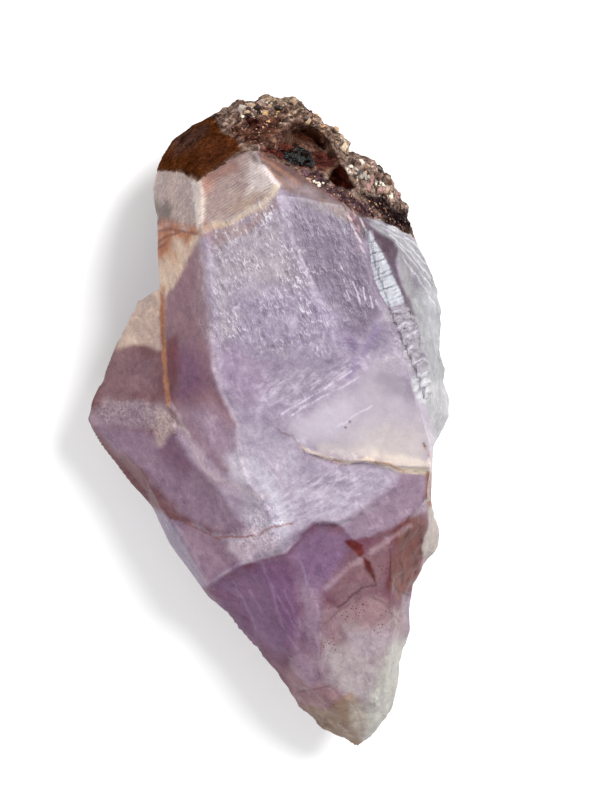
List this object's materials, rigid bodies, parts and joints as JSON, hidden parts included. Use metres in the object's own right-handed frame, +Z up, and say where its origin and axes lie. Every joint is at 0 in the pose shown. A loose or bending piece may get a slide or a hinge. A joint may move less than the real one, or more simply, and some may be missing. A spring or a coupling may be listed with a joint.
{
  "type": "amethyst point",
  "caption": "Rough violet quartz point with a brown hematite crust on its crown, a smaller side crystal grown into it and a tapering root, lying on its back.",
  "frame": {"origin": "centre of the bounding box in plan, on the ground that the point rests on", "axes": "+Y along the point from its root to its crown, +Z up out of the broad front face, +X to the right as seen from the front"},
  "size_m": [0.0842, 0.1522, 0.0495],
  "materials": {
    "amethyst": "glossy natural crystal faces, cloudy and partly see-through"
  },
  "bodies": {
    "root": {"amethyst_point": "amethyst"}
  },
  "joints": []
}
